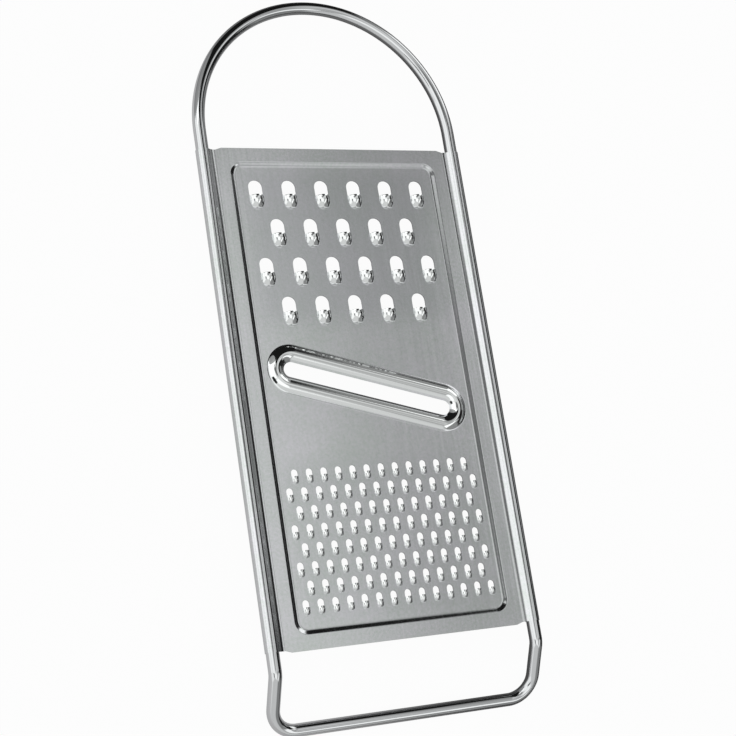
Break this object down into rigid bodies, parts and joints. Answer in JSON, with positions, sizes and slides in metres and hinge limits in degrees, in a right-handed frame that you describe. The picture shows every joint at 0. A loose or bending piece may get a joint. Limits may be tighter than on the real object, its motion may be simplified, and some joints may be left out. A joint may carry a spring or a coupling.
{
  "type": "flat wire-framed grater",
  "caption": "Flat hand grater: pressed steel sheet with coarse and fine raised teeth and a slanted slicing slot, edges rolled round a bent wire frame with a loop handle and a folded-back foot.",
  "frame": {"origin": "bottom centre of the whole grater as it lies on its back: the floor plane is under the foot's bar", "axes": "+Z out of the toothed face, square to the sheet; +Y along the grater from the foot to the loop handle; +X to the right with the handle up and the teeth towards the viewer"},
  "size_m": [0.1152, 0.29, 0.0174],
  "materials": {
    "sheet": "satin rolled stainless steel sheet",
    "wire": "bright polished stainless steel wire"
  },
  "bodies": {
    "root": {"grating_plate": "sheet", "handle_hoop": "wire", "side_rail_left": "wire", "side_rail_right": "wire", "foot_loop": "wire"}
  },
  "joints": []
}
